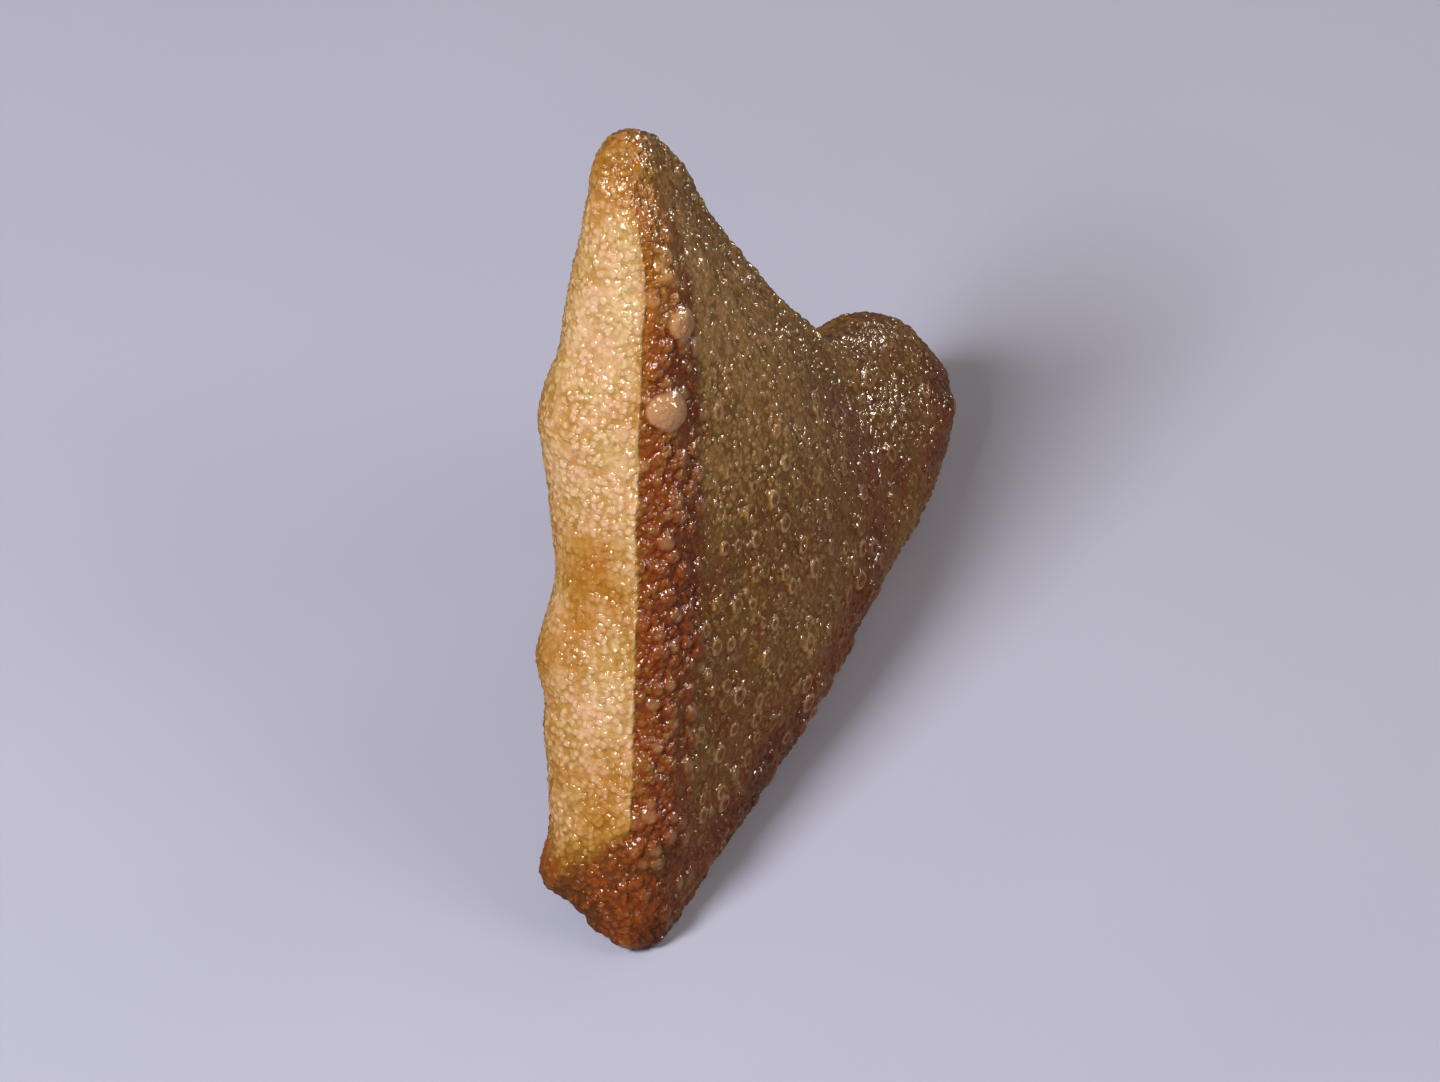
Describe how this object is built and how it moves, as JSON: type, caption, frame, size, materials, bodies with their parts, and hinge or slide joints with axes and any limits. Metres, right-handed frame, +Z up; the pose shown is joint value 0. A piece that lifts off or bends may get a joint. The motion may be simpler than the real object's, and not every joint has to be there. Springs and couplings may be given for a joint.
{
  "type": "samosa",
  "caption": "Fried triangular pastry parcel, blistered and golden, standing on its flat bottom edge and leaning a little.",
  "frame": {"origin": "middle of the bounding box, on the flat underside", "axes": "+Y along the bottom edge towards the back corner, +Z up to the top corner, +X out of the shown face"},
  "size_m": [0.0318, 0.0954, 0.0869],
  "materials": {
    "fried_pastry": "satin"
  },
  "bodies": {
    "root": {"samosa": "fried_pastry"}
  },
  "joints": []
}
